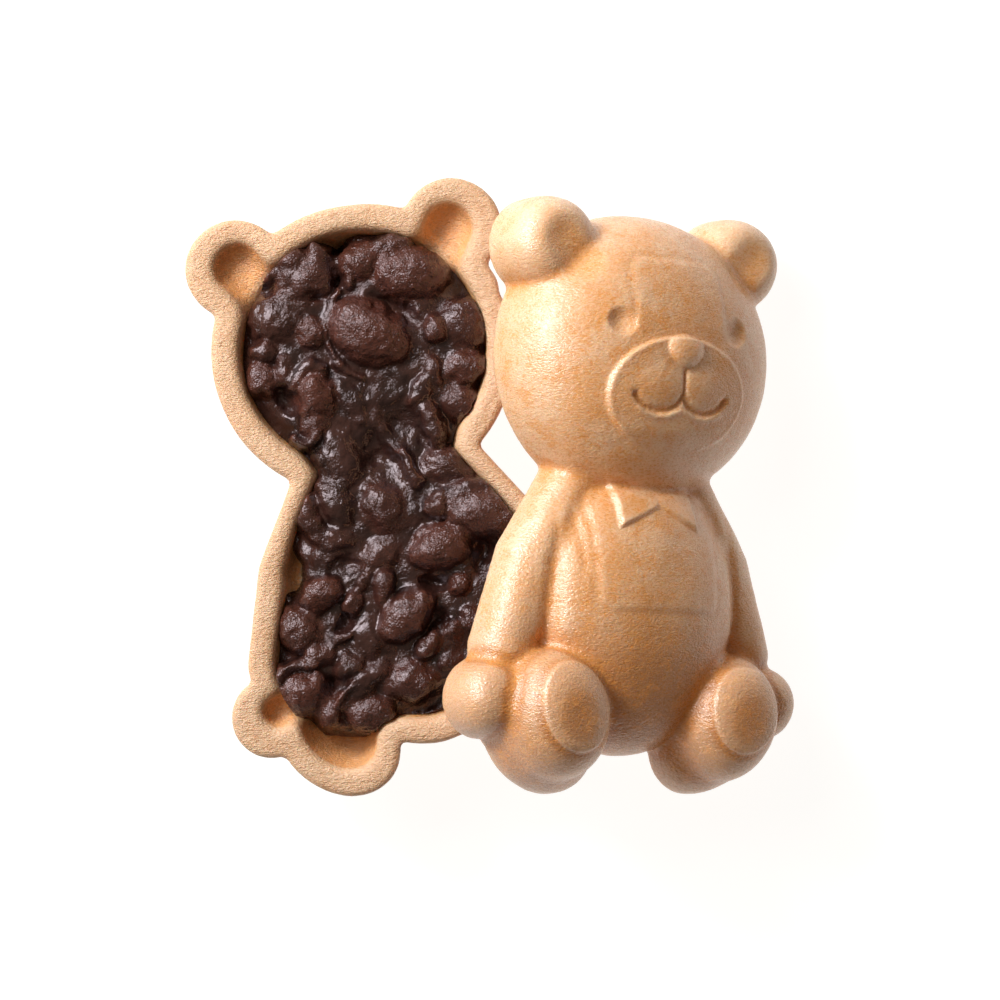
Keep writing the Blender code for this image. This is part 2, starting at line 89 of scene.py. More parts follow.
BACK_HOLLOW = tuple(part._replace(rise=part.rise * BACK_HOLLOW_RISE) for part in HOLLOW_PARTS)
PASTE_BED = tuple(part._replace(rise=part.rise * BACK_HOLLOW_RISE) for part in BED_PARTS)

# Rounding of the rim's outer and inner edges, and of the filled half's flat resting spot.
RIM_ROLL = 0.7
LIP_ROLL = 1.2
REST_ROLL = 1.0

# Relief of the faced half.
MUZZLE = Dome(0.0, 8.4, 8.8, 6.3, 0.38, 2.0, 0.0)
MUZZLE_PAD = Dome(2.8, 9.3, 3.1, 2.6, 0.26, 2.0, 0.0)
SMILE = ((0.0, 8.2), (0.8, 7.2), (1.9, 6.65), (3.1, 6.55), (4.3, 6.9), (5.2, 7.5), (5.8, 8.2))
LIP_CREASE = ((0.0, 8.3), (0.0, 11.0))
NOSE = Dome(0.0, 13.2, 2.3, 1.85, 0.82, 2.0, 0.0)
EYE = Dome(7.4, 16.0, 1.75, 1.7, -0.72, 2.0, 0.0)
EAR_PIT = Limb(((12.4, 25.1), (10.8, 23.2)), 2.9, -0.5, 2.0)
SOLE = Dome(11.0, -25.6, 4.2, 4.9, 0.34, 2.0, -12.0)
SLEEVE = ((10.6, -2.0), (11.3, -5.0), (11.5, -11.0), (11.6, -18.2))
SLEEVE_DEPTH = 0.22
SLEEVE_FILL = 0.45
BOW_REACH = 5.0
BOW_KNOT_Y = -3.1
BOW_TIP_Y = -3.6
BOW_KNOT_HALF = 0.45
BOW_TIP_HALF = 2.4
BOW_RISE = 0.52
Panel = namedtuple("Panel", "half_width bottom top corner")
BELLY_PANEL = Panel(7.6, -15.0, -2.0, 1.2)
BROW_PANEL = Panel(5.6, 12.0, 23.3, 1.6)
BELLY_STEP = 0.14
BROW_STEP = 0.08

# Chip in the filled half's rim, beside the head.
CHIP_X = -16.4
CHIP_Y = 16.5
CHIP_DEPTH = 0.45
CHIP_WIDTH = 1.1

# Poses of the halves on the table.
FILLED_X = -11.83
FILLED_Y = 2.30
FILLED_SPIN = 10.99
FACED_X = 14.22
FACED_Y = 1.10
FACED_YAW = 30.2
FACED_PITCH = -4.2
FACED_ROLL = -1.3


def turned(degrees, axis):
    return Matrix.Rotation(math.radians(degrees), 4, axis)


FILLED_PLACE = Matrix.Translation((FILLED_X, FILLED_Y, BACK_DEPTH)) @ turned(FILLED_SPIN, "Z")
FACED_TURN = turned(FACED_ROLL, "Z") @ turned(FACED_PITCH, "X") @ turned(FACED_YAW, "Y")

# ---------------------------------------------------------------- surfaces as fields


def smooth_min(a, b, blend):
    """Least of two fields, with their crossing filleted."""
    overlap = np.maximum(blend - np.abs(a - b), 0.0) / blend
    return np.minimum(a, b) - overlap * overlap * blend * 0.25


def smooth_max(a, b, blend):
    return -smooth_min(-a, -b, blend)


def smooth_step(value, low, high):
    t = np.clip((value - low) / (high - low), 0.0, 1.0)
    return t * t * (3.0 - 2.0 * t)


def dome_reach(dome, x, y, inset):
    turn = math.radians(dome.turn)
    dx = x - dome.x
    dy = y - dome.y
    u = math.cos(turn) * dx + math.sin(turn) * dy
    v = math.cos(turn) * dy - math.sin(turn) * dx
    return np.hypot(u / np.maximum(dome.rx - inset, 0.1), v / np.maximum(dome.ry - inset, 0.1))


def line_distance(bends, x, y):
    """Distance in plan to a bent line."""
    nearest = np.full(np.shape(x), np.inf)
    for (x0, y0), (x1, y1) in zip(bends, bends[1:]):
        dx = x1 - x0
        dy = y1 - y0
        along = np.clip(((x - x0) * dx + (y - y0) * dy) / (dx * dx + dy * dy), 0.0, 1.0)
        nearest = np.minimum(nearest, np.hypot(x - x0 - along * dx, y - y0 - along * dy))
    return nearest


def plan_reach(part, x, y, inset=0.0):
    """0 at the middle of a dome or limb and 1 on its edge, in plan."""
    if isinstance(part, Limb):
        return line_distance(part.bends, x, y) / np.maximum(part.radius - inset, 0.1)
    return dome_reach(part, x, y, inset)


def part_field(part, x, y, z, inset):
    size = part.radius if isinstance(part, Limb) else math.sqrt(part.rx * part.ry)
    reach = plan_reach(part, x, y, inset)
    return ((reach ** part.power + (z / part.rise) ** part.power) ** (1.0 / part.power) - 1.0) * size


def body_field(parts, x, y, z, inset=0.0, blend=BLEND):
    """Below zero inside the bear's form, mirrored about x = 0; heights under the rim count as the rim."""
    side = np.abs(x)
    up = np.maximum(z, 0.0)
    total = None
    for part in parts:
        value = part_field(part, side, y, up, inset)
        total = value if total is None else smooth_min(total, value, blend)
    return total


def hollow_field(parts, x, y, z):
    return body_field(parts, x, y, z, WALL_DRAFT * np.maximum(z, 0.0), HOLLOW_BLEND)


def soft_bump(dome, x, y, sharpness=1.5):
    inside = np.clip(1.0 - plan_reach(dome, x, y) ** 2, 0.0, 1.0)
    return dome.rise * inside ** sharpness


def groove(distance, width):
    return np.exp(-(distance / width) ** 2)


def plateau(dome, x, y, edge, crest):
    """Raised oval with a crisp edge and a thin crest along it."""
    to_edge = (1.0 - plan_reach(dome, x, y)) * math.sqrt(dome.rx * dome.ry)
    return dome.rise * smooth_step(to_edge, -edge, edge) + crest * groove(to_edge - edge, edge * 1.6)


def panel_edge(panel, x, y):
    """Distance inside the outline of a rounded panel."""
    dx = np.abs(x) - (panel.half_width - panel.corner)
    dy = np.abs(y - (panel.bottom + panel.top) / 2.0) - ((panel.top - panel.bottom) / 2.0 - panel.corner)
    outside = np.hypot(np.maximum(dx, 0.0), np.maximum(dy, 0.0)) + np.minimum(np.maximum(dx, dy), 0.0)
    return panel.corner - outside


def bow_tie(x, y):
    side = np.abs(x)
    along = np.clip(side / BOW_REACH, 0.0, 1.0)
    centre = BOW_KNOT_Y + (BOW_TIP_Y - BOW_KNOT_Y) * along
    half = BOW_KNOT_HALF + (BOW_TIP_HALF - BOW_KNOT_HALF) * along
    to_edge = np.minimum(half - np.abs(y - centre), BOW_REACH - side)
    return BOW_RISE * (0.5 + 0.5 * along) * smooth_step(to_edge, -0.35, 0.4)


def face_relief(x, y):
    side = np.abs(x)
    chin_fade = smooth_step(y, 2.2, 4.6)
    relief = plateau(MUZZLE, x, y, 0.22, 0.06) * chin_fade
    relief += soft_bump(MUZZLE_PAD, side, y)
    smile = line_distance(SMILE, side, y)
    relief -= (0.42 + 0.12 * smooth_step(side, 4.4, 5.8)) * groove(smile, 0.34)
    below = smooth_step(6.9 - y + 0.28 * np.maximum(side - 3.2, 0.0) ** 1.4, -0.2, 0.5)
    relief += 0.16 * groove(smile - 0.72, 0.32) * below * smooth_step(6.2 - side, 0.0, 1.5)
    relief -= 0.32 * groove(line_distance(LIP_CREASE, x, y), 0.28)
    squeeze = 1.0 + 0.24 * (y - NOSE.y) / NOSE.ry
    nose = plan_reach(NOSE, x / squeeze, y)
    relief += NOSE.rise * np.clip(1.0 - nose ** 2.6, 0.0, 1.0) ** 0.7
    return relief + soft_bump(EYE, side, y, 1.3)


def sleeve_fold(x, y):
    """Fold between sleeve and belly: steep on the belly side, gentle on the sleeve side."""
    side = np.abs(x)
    distance = line_distance(SLEEVE, side, y)
    width = np.where(side > 11.3 + (-3.2 - y) * 0.02, 0.95, 0.5)
    ends = smooth_step(y, -19.5, -16.5) * smooth_step(-y, 2.4, 6.5)
    crease = line_distance(((9.2, -5.0), (8.9, -10.5)), side, y)
    return (SLEEVE_FILL * groove(distance, 2.0) - SLEEVE_DEPTH * groove(distance, width)
            - 0.14 * groove(crease, 0.45)) * ends


def front_relief(x, y):
    side = np.abs(x)
    relief = face_relief(x, y) + sleeve_fold(x, y) + bow_tie(x, y)
    relief += soft_bump(EAR_PIT, side, y) + plateau(SOLE, side, y, 0.16, 0.06)
    belly = panel_edge(BELLY_PANEL, x, y)
    relief += BELLY_STEP * smooth_step(belly, -0.4, 0.4) - 0.04 * groove(belly + 0.5, 0.35)
    brow = panel_edge(BROW_PANEL, x, y)
    step = BROW_STEP * smooth_step(brow, -0.35, 0.35) - 0.05 * groove(brow + 0.4, 0.3)
    return relief + step * smooth_step(y, 14.0, 16.5)


def peel_share(x, y):
    """1 where the body is dimpled like orange peel: below and beside the smooth belly panel."""
    belly = panel_edge(BELLY_PANEL, x, y)
    return smooth_step(-belly, 0.0, 0.8) * smooth_step(-y, 2.0, 9.0)


def front_outer(x, y, z):
    height = np.maximum(z, 0.0)
    return body_field(FRONT_PARTS, x, y, z - front_relief(x, y) * smooth_step(height, 0.4, 3.0))


def back_outer(x, y, z):
    chip = CHIP_DEPTH * groove(np.hypot(x - CHIP_X, y - CHIP_Y), CHIP_WIDTH)
    return smooth_max(body_field(BACK_PARTS, x, y, z), z - BACK_DEPTH, REST_ROLL) + chip


def shell(outer, hollow_parts, x, y, z):
    """Wafer half: outer form less its hollow, above the rim plane, with rounded rim edges."""
    hollow = smooth_max(hollow_field(hollow_parts, x, y, z), outer(x, y, z + SKIN) + SIDE_SKIN, 1.0)
    return smooth_max(smooth_max(outer(x, y, z), -z, RIM_ROLL), -hollow, LIP_ROLL)


# ---------------------------------------------------------------- mesh work


def read_points(bm):
    return np.array([vert.co[:] for vert in bm.verts])


def write_points(bm, points):
    for vert, point in zip(bm.verts, points):
        vert.co = point


def slope_of(field, points):
    probe = 0.02
    base = field(*points.T)
    slope = np.empty_like(points)
    for axis in range(3):
        shifted = points.copy()
        shifted[:, axis] += probe
        slope[:, axis] = (field(*shifted.T) - base) / probe
    return base, slope


def settle(points, field, steps, stride=0.5):
    """Moves points along a field's slope onto its zero surface."""
    for _ in range(steps):
        value, slope = slope_of(field, points)
        move = -slope * (value / np.maximum((slope ** 2).sum(axis=1), 1e-4))[:, None]
        length = np.maximum(np.linalg.norm(move, axis=1), 1e-9)
        points = points + move * np.minimum(1.0, stride / length)[:, None]
    return points


def solid_copy(node, place):
    """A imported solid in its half's own millimetres, merged."""
    bm = bmesh.new()
    bm.from_mesh(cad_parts[node].data)
    bmesh.ops.remove_doubles(bm, verts=bm.verts, dist=1e-6)
    bmesh.ops.transform(bm, matrix=place.inverted() @ Matrix.Scale(1.0 / MM, 4), verts=bm.verts)
    return bm


def keep_largest(bm):
    """Drops the loose bubbles that a remesh can leave beside the main skin."""
    seen = set()
    islands = []
    for start in bm.verts:
        if start in seen:
            continue
        island = [start]
        seen.add(start)
        for vert in island:
            for edge in vert.link_edges:
                other = edge.other_vert(vert)
                if other not in seen:
                    seen.add(other)
                    island.append(other)
        islands.append(island)
    islands.sort(key=len)
    loose = [vert for island in islands[:-1] for vert in island]
    bmesh.ops.delete(bm, geom=loose, context="VERTS")


def fused(bm, voxel):
    """Even skin of small squares over whatever closed forms a bmesh holds."""
    mesh = bpy.data.meshes.new("work")
    bm.to_mesh(mesh)
    bm.free()
    work = bpy.data.objects.new("work", mesh)
    bpy.context.scene.collection.objects.link(work)
    remesh = work.modifiers.new("even_skin", "REMESH")
    remesh.mode = "VOXEL"
    remesh.voxel_size = voxel
    bpy.context.view_layer.update()
    result = work.evaluated_get(bpy.context.evaluated_depsgraph_get()).to_mesh()
    skin = bmesh.new()
    skin.from_mesh(result)
    bpy.data.objects.remove(work)
    bpy.data.meshes.remove(mesh)
    keep_largest(skin)
    return skin


def refine(bm, wanted):
    """Halves the squares where a test on the points says so."""
    points = read_points(bm)
    chosen = wanted(*points.T)
    bm.verts.index_update()
    edges = [edge for edge in bm.edges if chosen[edge.verts[0].index] and chosen[edge.verts[1].index]]
    bmesh.ops.subdivide_edges(bm, edges=edges, cuts=1, use_grid_fill=True)


def crest_values(bm, rounds):
    """How far each point stands out of its surroundings, along its normal."""
    bm.normal_update()
    bm.verts.index_update()
    points = read_points(bm)
    normals = np.array([vert.normal[:] for vert in bm.verts])
    pairs = np.array([(edge.verts[0].index, edge.verts[1].index) for edge in bm.edges])
    count = np.bincount(pairs.ravel(), minlength=len(points)).astype(float)
    smooth = points.copy()
    for _ in range(rounds):
        total = np.zeros_like(smooth)
        np.add.at(total, pairs[:, 0], smooth[pairs[:, 1]])
        np.add.at(total, pairs[:, 1], smooth[pairs[:, 0]])
        smooth = total / count[:, None]
    return ((points - smooth) * normals).sum(axis=1)


def ripple(points, scale, octaves, seed):
    """Fractal noise at each point, about -1 to 1."""
    shift = Vector((seed * 7.3, seed * 3.1, seed * 5.7))
    return np.array([noise.fractal(Vector(point) / scale + shift, 1.0, 2.0, octaves) for point in points])


def swell(bm, amount):
    """Moves each point along its normal."""
    bm.normal_update()
    for vert, distance in zip(bm.verts, amount):
        vert.co += vert.normal * float(distance)


def finish_piece(bm, name, place, material, values):
    """Makes a named piece in the frame's metres, with its point values, riding on the body."""
    bmesh.ops.transform(bm, matrix=Matrix.Scale(MM, 4) @ place, verts=bm.verts)
    mesh = bpy.data.meshes.new(name)
    bm.to_mesh(mesh)
    bm.free()
    mesh.shade_smooth()
    for label, numbers in values.items():
        layer = mesh.attributes.new(label, "FLOAT", "POINT")
        layer.data.foreach_set("value", np.asarray(numbers, dtype=np.float32))
    mesh.materials.append(material)
    piece = bpy.data.objects.new(name, mesh)
    bpy.context.scene.collection.objects.link(piece)
    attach(piece, "root")
    return piece


def faced_place():
    """Pose of the faced half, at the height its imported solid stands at."""
    axis = FACED_TURN.to_3x3() @ Vector((0.0, 0.0, 1.0))
    points = np.array([vert.co[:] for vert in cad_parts["front_wafer"].data.vertices]) / MM
    rim = float((points @ np.array(axis)).min())
    height = (rim - axis.x * FACED_X - axis.y * FACED_Y) / axis.z
    return Matrix.Translation((FACED_X, FACED_Y, height)) @ FACED_TURN


# ---------------------------------------------------------------- wafer halves

# Edges shorter than this are slivers that settling leaves.
SLIVER = 0.005
WOBBLE = 0.07
FINE_WOBBLE = 0.022
FRONT_VOXEL = 0.36
BACK_VOXEL = 0.42

def wafer_piece(node, place, outer, hollow_parts, voxel, seed, material, detail=None):
    """Baked wafer half. Where detail is given, it says which points lie on the faced half's fine relief."""
    bm = fused(solid_copy(node, place), voxel)

    def field(x, y, z):
        return shell(outer, hollow_parts, x, y, z)

    write_points(bm, settle(read_points(bm), field, 4))
    bm = fused(bm, voxel)
    if detail:
        refine(bm, detail)
    write_points(bm, settle(read_points(bm), field, 4))
    bmesh.ops.remove_doubles(bm, verts=bm.verts, dist=SLIVER)
    points = read_points(bm)
    x, y, z = points.T
    # How far each point stands out; it drives the painted highlight on crests and the painted shade in
    # creases.
    crest = crest_values(bm, 14)
    rise = np.array([abs(vert.normal.z) for vert in bm.verts])
    plain = np.zeros(len(points))
    # Masks for the painted orange glow: the faced half's ear pits and the inside of each hollow.
    ear_pit = np.clip(1.1 - plan_reach(EAR_PIT, np.abs(x), y), 0.0, 0.7) if detail else plain
    hollow = smooth_step(-outer(x, y, z), 0.6, 1.6) * smooth_step(z, 0.35, 1.5)
    swell(bm, WOBBLE * ripple(points, 5.0, 2, seed) + FINE_WOBBLE * ripple(points, 0.9, 2, seed + 1))
    values = {
        "crest": crest,
        "wall": smooth_step(1.0 - rise, 0.12, 0.62),
        "painted_hollow_glow": np.maximum(hollow, ear_pit),
        # Painted shade with deeper browning, growing towards the feet.
        "feet_browning_and_shade": smooth_step(-y, 12.0, 23.0) if detail else plain,
        "peel": peel_share(x, y) if detail else plain,
    }
    piece = finish_piece(bm, node.replace("_wafer", "_wafer_baked"), place, material, values)
    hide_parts(node)
    return piece


def face_zone(x, y, z):
    on_face = (np.abs(x) < 10.2) & (y > 1.5) & (y < 18.6)
    on_bow = (np.abs(x) < 6.2) & (y > -7.0) & (y < 0.2)
    return (on_face | on_bow) & (body_field(FRONT_PARTS, x, y, z + 1.0) > 0.0)


# ---------------------------------------------------------------- bean paste

# Beans and blobs: x, y, half sizes, turn, top above the rim, how beany, and how far they melt into the rest.
Lump = namedtuple("Lump", "x y rx ry turn top bean melt")
LUMPS = (
    Lump(-4.9, 22.3, 3.9, 3.2, 11, 1.2, 0.5, 0.8),
    Lump(-8.6, 23.5, 1.9, 0.8, -8, 0.4, 0.2, 0.5),
    Lump(-6.2, 24.6, 1.8, 1.3, 30, 0.9, 0.3, 0.5),
    Lump(-2.9, 24.6, 1.4, 1.7, 10, 0.6, 0.3, 0.6),
    Lump(1.6, 23.2, 2.6, 2.3, 20, 1.0, 0.9, 0.5),
    Lump(6.6, 20.8, 4.6, 3.2, -18, 1.6, 1.0, 0.5),
    Lump(4.9, 24.0, 2.6, 1.2, 15, 0.7, 0.5, 0.6),
    Lump(1.1, 15.3, 5.2, 3.6, -40, 2.4, 1.0, 0.2),
    Lump(-8.6, 18.6, 3.6, 3.0, -4, 0.9, 0.3, 1.6),
    Lump(-5.2, 16.4, 1.9, 1.8, 0, 0.7, 0.8, 0.9),
    Lump(-10.9, 15.2, 1.6, 1.3, 0, 0.4, 0.3, 0.7),
    Lump(-11.7, 12.2, 1.7, 2.3, 11, 0.3, 0.9, 0.5),
    Lump(-9.2, 12.8, 1.2, 1.9, -20, 0.5, 0.4, 0.6),
    Lump(-6.2, 9.4, 2.7, 3.0, 11, 1.8, 1.0, 0.3),
    Lump(-6.9, 6.1, 1.7, 1.6, 11, 0.7, 0.6, 0.5),
    Lump(8.3, 14.2, 1.2, 1.6, 0, 1.0, 0.7, 0.4),
    Lump(11.4, 14.2, 2.6, 3.0, 11, 0.6, 0.4, 1.6),
    Lump(10.8, 9.4, 2.6, 2.0, 11, 0.4, 0.8, 0.8),
    Lump(7.2, 9.8, 0.8, 1.9, 12, 0.5, 0.1, 0.5),
    Lump(5.4, 7.7, 1.0, 2.3, -40, 0.6, 0.1, 0.6),
    Lump(-2.4, 8.3, 1.3, 3.2, 18, 0.5, 0.0, 0.8),
    Lump(6.2, 3.8, 1.3, 2.6, 5, 0.6, 0.3, 0.9),
    Lump(9.6, 5.6, 2.2, 2.6, 20, 0.0, 0.5, 1.2),
    Lump(-4.9, 2.2, 2.7, 4.4, 8, 0.7, 0.0, 0.5),
    Lump(-6.2, -2.9, 2.3, 3.2, 16, 0.9, 0.0, 1.0),
    Lump(-1.1, -4.4, 2.7, 3.2, 11, 1.2, 0.5, 0.6),
    Lump(-9.5, -3.6, 1.4, 3.9, 14, 0.8, 0.3, 0.6),
    Lump(2.7, -0.8, 1.0, 2.6, 14, 0.7, 0.1, 0.9),
    Lump(6.6, -1.2, 3.2, 2.2, -30, 0.4, 0.5, 1.6),
    Lump(8.4, -4.3, 2.6, 1.3, 12, 1.3, 0.3, 0.7),
    Lump(4.9, -5.1, 1.8, 1.4, 20, 1.5, 0.3, 0.5),
    Lump(9.6, -7.0, 4.4, 3.0, -14, 2.1, 0.7, 0.7),
    Lump(-6.6, -6.8, 2.0, 1.4, 0, 0.6, 0.2, 1.0),
    Lump(4.2, -9.6, 3.6, 2.8, 11, 2.0, 1.0, 0.3),
    Lump(-2.4, -9.4, 2.8, 2.2, 20, 0.5, 0.3, 1.5),
    Lump(-9.6, -12.4, 2.5, 1.9, 11, 1.4, 1.0, 0.4),
    Lump(-6.3, -13.9, 1.0, 1.7, -20, 1.1, 0.5, 0.4),
    Lump(-4.7, -11.9, 0.8, 1.4, -30, 0.8, 0.2, 0.5),
    Lump(-12.7, -16.0, 2.6, 2.9, 11, 0.8, 0.6, 1.0),
    Lump(-11.3, -19.2, 2.0, 1.3, 0, 0.7, 0.6, 0.7),
    Lump(-8.0, -17.0, 2.9, 0.8, 35, 0.5, 0.1, 0.7),
    Lump(-5.6, -18.2, 1.9, 2.6, 0, 0.5, 0.1, 1.3),
    Lump(-0.8, -16.6, 3.9, 2.4, 28, 2.0, 0.8, 0.3),
    Lump(-2.8, -13.2, 1.2, 2.2, -10, 1.2, 0.4, 0.8),
    Lump(5.6, -14.3, 1.4, 1.4, 11, 0.9, 0.7, 0.5),
    Lump(5.9, -18.2, 1.2, 1.9, -20, 0.7, 0.4, 0.6),
    Lump(3.8, -19.2, 1.3, 1.1, 0, 0.7, 0.4, 0.6),
    Lump(1.0, -20.2, 1.9, 1.3, 40, 1.0, 0.4, 0.5),
    Lump(2.9, -22.4, 1.7, 1.1, 20, 0.3, 0.3, 0.8),
    Lump(-8.1, -20.8, 1.8, 1.8, -30, 1.0, 0.1, 0.6),
    Lump(-6.6, -23.0, 3.3, 1.7, 38, 0.9, 0.1, 0.6),
    Lump(-13.6, -23.0, 3.2, 2.9, 11, 1.4, 1.0, 0.3),
    Lump(-10.6, -25.4, 2.6, 2.2, 0, 0.6, 0.8, 0.8),
    Lump(-6.9, -26.4, 2.8, 2.1, 11, 0.6, 0.7, 0.6),
    Lump(-2.0, -23.7, 3.3, 2.5, 11, 0.9, 0.6, 0.9),
)

# Thin folds and films of paste: their bends, half width, and top above the rim.
Fold = namedtuple("Fold", "bends width top")
FOLDS = (
    Fold(((-1.3, 20.6), (-2.5, 19.3), (-3.3, 17.8), (-3.7, 16.0), (-3.3, 14.0), (-2.3, 12.2), (-0.9, 10.8)),
         0.45, 0.3),
    Fold(((-0.5, 22.5), (0.3, 20.8)), 0.5, 0.5),
    Fold(((-8.4, 11.2), (-7.5, 12.2), (-6.1, 12.7), (-4.8, 12.4)), 0.7, 1.0),
    Fold(((-8.9, 4.8), (-8.0, 4.4), (-7.2, 5.0), (-6.6, 5.9), (-6.3, 6.9)), 0.55, 0.8),
    Fold(((-16.2, -21.2), (-15.2, -20.1), (-13.6, -19.6), (-12.0, -20.0)), 0.5, 0.9),
    Fold(((-10.2, -24.4), (-8.4, -23.4), (-6.4, -22.0)), 0.45, 1.0),
)

# Dark hollows between the lumps, and the two bays where the wall shows bare.
PITS = (
    Dome(-1.4, 21.6, 1.0, 2.0, -1.8, 2.0, -20.0),
    Dome(-3.9, 20.2, 1.3, 0.9, -1.0, 2.0, 0.0),
    Dome(4.6, 16.8, 1.2, 4.2, -1.2, 2.0, 52.0),
    Dome(-9.4, 9.4, 1.6, 2.4, -1.6, 2.0, 25.0),
    Dome(2.2, 5.0, 2.6, 2.6, -1.0, 2.0, 0.0),
    Dome(-0.2, 1.0, 2.0, 3.8, -1.3, 2.0, 16.0),
    Dome(3.2, -13.6, 2.7, 1.1, -1.8, 2.0, -8.0),
    Dome(8.8, -11.4, 1.8, 2.6, -1.6, 2.0, -30.0),
    Dome(-6.4, -9.9, 2.6, 1.3, -1.0, 2.0, 0.0),
    Dome(-7.6, -16.0, 2.0, 1.0, -1.2, 2.0, 20.0),
    Dome(-10.7, -22.2, 1.0, 1.5, -1.6, 2.0, -30.0),
    Dome(-9.8, -26.2, 0.9, 1.4, -1.2, 2.0, 10.0),
    Dome(0.6, -26.2, 4.2, 1.3, -1.4, 2.0, 14.0),
    Dome(1.6, -17.9, 2.6, 0.9, -1.2, 2.0, 28.0),
    Dome(-12.9, -9.2, 2.1, 3.6, -5.0, 2.0, 15.0),
    Dome(-0.7, 26.2, 1.8, 2.0, -4.0, 2.0, 0.0),
)
PASTE_HEAD = Dome(0.0, 13.2, 14.6, 13.0, 1.0, 2.0, 0.0)
PASTE_TORSO = Dome(0.0, -12.8, 16.5, 17.0, 1.0, 2.0, 0.0)
PASTE_FEET = Dome(-4.5, -21.5, 11.3, 7.3, 1.0, 2.0, 0.0)
PASTE_LOW = -2.7
PASTE_END_SLOPE = 4.0
WARP = 0.6
WARP_SIZE = 2.2
WALL_GAP = 0.06
PASTE_FIRST_VOXEL = 0.5
PASTE_SPREAD = 1.4
PASTE_VOXEL = 0.26


def paste_base(x, y):
    """Height of the paste under its beans, falling off where the mass ends."""
    mass = (plan_reach(PASTE_HEAD, x, y) - 1.0) * PASTE_HEAD.ry
    for part in (PASTE_TORSO, PASTE_FEET):
        mass = smooth_min(mass, (plan_reach(part, x, y) - 1.0) * part.ry, 2.0)
    inside = -hollow_field(PASTE_BED, x, y, np.zeros_like(x))
    return (PASTE_LOW + 1.2 * smooth_step(-mass, -0.5, 6.0) + 1.2 * smooth_step(inside, 0.0, 4.0)
            - PASTE_END_SLOPE * np.maximum(mass, 0.0))


def lump_reach(lump, x, y):
    return plan_reach(Dome(lump.x, lump.y, lump.rx, lump.ry, 1.0, 2.0, lump.turn), x, y)


def paste_height(x, y):
    """Top of the paste above the rim: base, lumps melted into each other, folds and pits, all warped."""
    flat = np.column_stack([x, y, np.zeros_like(x)])
    warp_x = x + WARP * ripple(flat, WARP_SIZE, 3, 11)
    warp_y = y + WARP * ripple(flat, WARP_SIZE, 3, 12)
    top = paste_base(x, y) + 0.5 * ripple(flat, 3.4, 3, 13)
    for lump in LUMPS:
        reach = lump_reach(lump, warp_x, warp_y)
        size = min(lump.rx, lump.ry)
        crown = lump.top - size * (1.0 - np.sqrt(np.clip(1.0 - reach * reach, 0.0, 1.0)))
        crown -= size * 4.0 * np.maximum(reach - 1.0, 0.0)
        top = smooth_max(top, crown, lump.melt)
    for pit in PITS:
        top += soft_bump(pit, warp_x, warp_y)
    for fold in FOLDS:
        away = line_distance(fold.bends, warp_x, warp_y) / fold.width
        top = smooth_max(top, fold.top - 0.5 * away * away - 1.2 * np.maximum(away - 1.0, 0.0), 0.15)
    return top


def bed_side(x, y, z):
    return hollow_field(PASTE_BED, x, y, -z) + WALL_GAP


def press_top(bm):
    """Moves the upper side of the paste straight up or down to its height."""
    bm.normal_update()
    points = read_points(bm)
    height = paste_height(points[:, 0], points[:, 1])
    upper = np.array([vert.normal.z > 0.15 for vert in bm.verts])
    points[:, 2] = np.where(upper, height, np.minimum(points[:, 2], height))
    write_points(bm, points)


def press_sides(bm, reach):
    """Moves the points near the wafer's walls onto them."""
    points = read_points(bm)
    near = bed_side(*points.T) > -reach
    points[near] = settle(points[near], bed_side, 3)
    write_points(bm, points)


def bean_share(points):
    """1 on the beans' own skin and 0 on the paste between them."""
    share = np.zeros(len(points))
    for lump in LUMPS:
        reach = lump_reach(lump, points[:, 0], points[:, 1])
        share = np.maximum(share, lump.bean * (1.0 - smooth_step(reach, 0.85, 1.1)))
    return share


def paste_piece(material, voxel):
    bm = fused(solid_copy("bean_paste", FILLED_PLACE), PASTE_FIRST_VOXEL)
    press_sides(bm, PASTE_SPREAD)
    press_top(bm)
    bm = fused(bm, voxel)
    press_top(bm)
    for _ in range(2):
        bmesh.ops.smooth_vert(bm, verts=bm.verts, factor=0.5,
                              use_axis_x=True, use_axis_y=True, use_axis_z=True)
    points = read_points(bm)
    share = bean_share(points)
    grain = np.abs(ripple(points, 0.75, 3, 21)) * (0.13 + 0.07 * share) + 0.13 * ripple(points, 1.6, 3, 22)
    swell(bm, grain)
    press_sides(bm, 0.0)
    # crest drives the painted highlight on the paste's raised tops.
    values = {"bean": share, "crest": crest_values(bm, 8)}
    piece = finish_piece(bm, "sweet_bean_paste", FILLED_PLACE, material, values)
    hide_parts("bean_paste")
    return piece


# ---------------------------------------------------------------- materials


